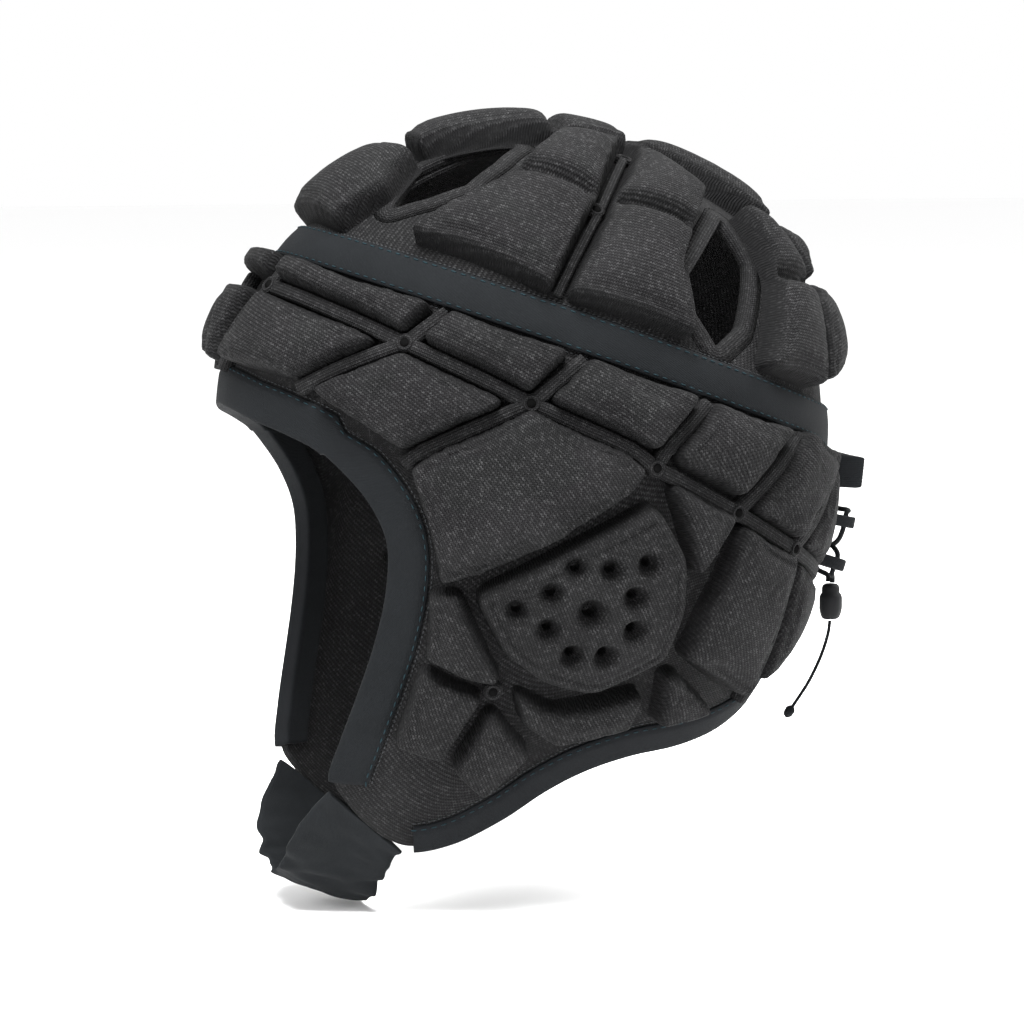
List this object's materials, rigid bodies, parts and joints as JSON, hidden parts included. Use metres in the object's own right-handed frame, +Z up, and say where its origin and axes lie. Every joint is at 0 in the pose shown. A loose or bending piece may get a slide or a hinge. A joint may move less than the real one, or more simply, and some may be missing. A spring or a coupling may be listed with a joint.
{
  "type": "rugby scrum cap",
  "caption": "Padded rugby scrum cap with sewn foam pads, ear panels with sound holes, crown vents, back lacing and a gathered chin strap.",
  "frame": {"origin": "the inside top of the crown, where the cap sits on the wearer's head", "axes": "+Z up, the wearer faces -Y, +X towards the wearer's left; millimetres in the source"},
  "size_m": [0.181, 0.2322, 0.2691],
  "materials": {
    "knit": "charcoal knitted polyester laminated over foam, fine slanting rib with pale glints",
    "tape": "blue-black woven elastic tape with stitched edges",
    "plastic": "black moulded plastic"
  },
  "bodies": {
    "root": {"chin_strap": "tape", "cord_lock": "plastic", "crown_shell": "knit", "drawcord": "tape", "ear_pad_left": "knit", "ear_pad_right": "knit", "face_binding": "tape", "lace_frame": "tape", "lace_tail": "tape", "nape_binding_left": "tape", "nape_binding_right": "tape", "pad_back_lower_left": "knit", "pad_back_lower_right": "knit", "pad_back_upper_left": "knit", "pad_back_upper_right": "knit", "pad_behind_ear_left": "knit", "pad_behind_ear_right": "knit", "pad_brow_centre_lower": "knit", "pad_brow_centre_upper": "knit", "pad_brow_lower_left": "knit", "pad_brow_lower_right": "knit", "pad_brow_side_left": "knit", "pad_brow_side_right": "knit", "pad_cheek_left": "knit", "pad_cheek_right": "knit", "pad_crown_back_lower": "knit", "pad_crown_back_upper": "knit", "pad_crown_corner_left": "knit", "pad_crown_corner_right": "knit", "pad_crown_front": "knit", "pad_crown_ridge_front": "knit", "pad_crown_ridge_rear": "knit", "pad_crown_side_front_left": "knit", "pad_crown_side_front_right": "knit", "pad_crown_side_rear_left": "knit", "pad_crown_side_rear_right": "knit", "pad_ear_wedge_left": "knit", "pad_ear_wedge_right": "knit", "pad_jaw_front_left": "knit", "pad_jaw_front_right": "knit", "pad_jaw_rear_left": "knit", "pad_jaw_rear_right": "knit", "pad_rear_side_lower_left": "knit", "pad_rear_side_lower_right": "knit", "pad_rear_side_upper_left": "knit", "pad_rear_side_upper_right": "knit", "pad_rear_upper_left": "knit", "pad_rear_upper_right": "knit", "pad_side_lower_left": "knit", "pad_side_lower_right": "knit", "pad_side_upper_left": "knit", "pad_side_upper_right": "knit", "pad_temple_lower_left": "knit", "pad_temple_lower_right": "knit", "pad_temple_upper_left": "knit", "pad_temple_upper_right": "knit", "pad_under_ear_left": "knit", "pad_under_ear_right": "knit", "side_shell": "knit", "tape_band": "tape"}
  },
  "joints": []
}
